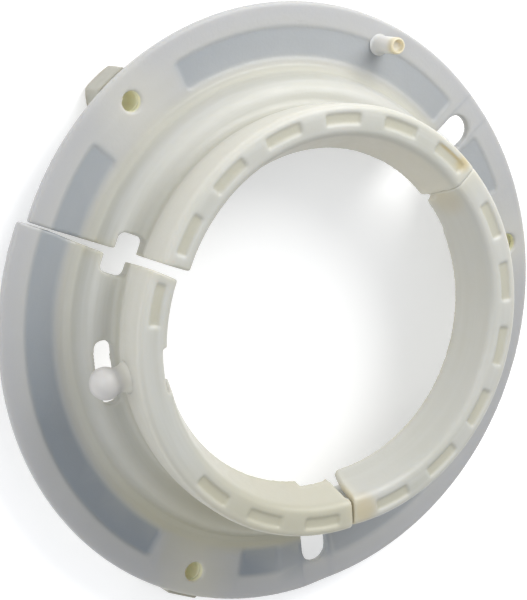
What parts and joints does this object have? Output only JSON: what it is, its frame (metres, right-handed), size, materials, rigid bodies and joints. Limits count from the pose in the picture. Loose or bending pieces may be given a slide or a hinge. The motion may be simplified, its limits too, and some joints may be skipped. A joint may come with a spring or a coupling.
{
  "type": "split toilet flange",
  "caption": "Split plastic toilet flange ring: flat plate, stepped collar with an inner lip, flexing webs, hex nuts, a ball stud and a locating peg.",
  "frame": {"origin": "centre of the footprint, at the feet of the three hex nuts", "axes": "+Z along the ring's axis towards the collar's front face, -X towards the open split"},
  "size_m": [0.1846, 0.185, 0.0425],
  "materials": {
    "middle_nylon": "satin translucent natural nylon",
    "upper_nylon": "satin translucent natural nylon",
    "lower_nylon": "satin translucent natural nylon",
    "upper_nut_nylon": "satin nylon, slightly aged",
    "middle_nut_nylon": "satin nylon, slightly aged",
    "lower_nut_nylon": "satin nylon, slightly aged",
    "stud_nylon": "satin nylon",
    "peg_nylon": "satin nylon, stained tip"
  },
  "bodies": {
    "middle_body": {"middle_segment": "middle_nylon", "middle_hex_nut": "middle_nut_nylon"},
    "upper_body": {"upper_segment": "upper_nylon", "upper_hex_nut": "upper_nut_nylon", "locating_peg": "peg_nylon"},
    "lower_body": {"lower_segment": "lower_nylon", "lower_hex_nut": "lower_nut_nylon", "ball_stud": "stud_nylon"}
  },
  "joints": [
    {"name": "upper_web_flex", "type": "hinge", "parent": "middle_body", "child": "upper_body", "pos_m": [0.04593, 0.08095, 0.0125], "axis": [0, 0, -1], "range_deg": [0, 8], "stiffness_Nm_per_rad": 6},
    {"name": "lower_web_flex", "type": "hinge", "parent": "middle_body", "child": "lower_body", "pos_m": [0.04302, -0.07803, 0.0125], "axis": [0, 0, 1], "range_deg": [0, 8], "stiffness_Nm_per_rad": 6}
  ]
}
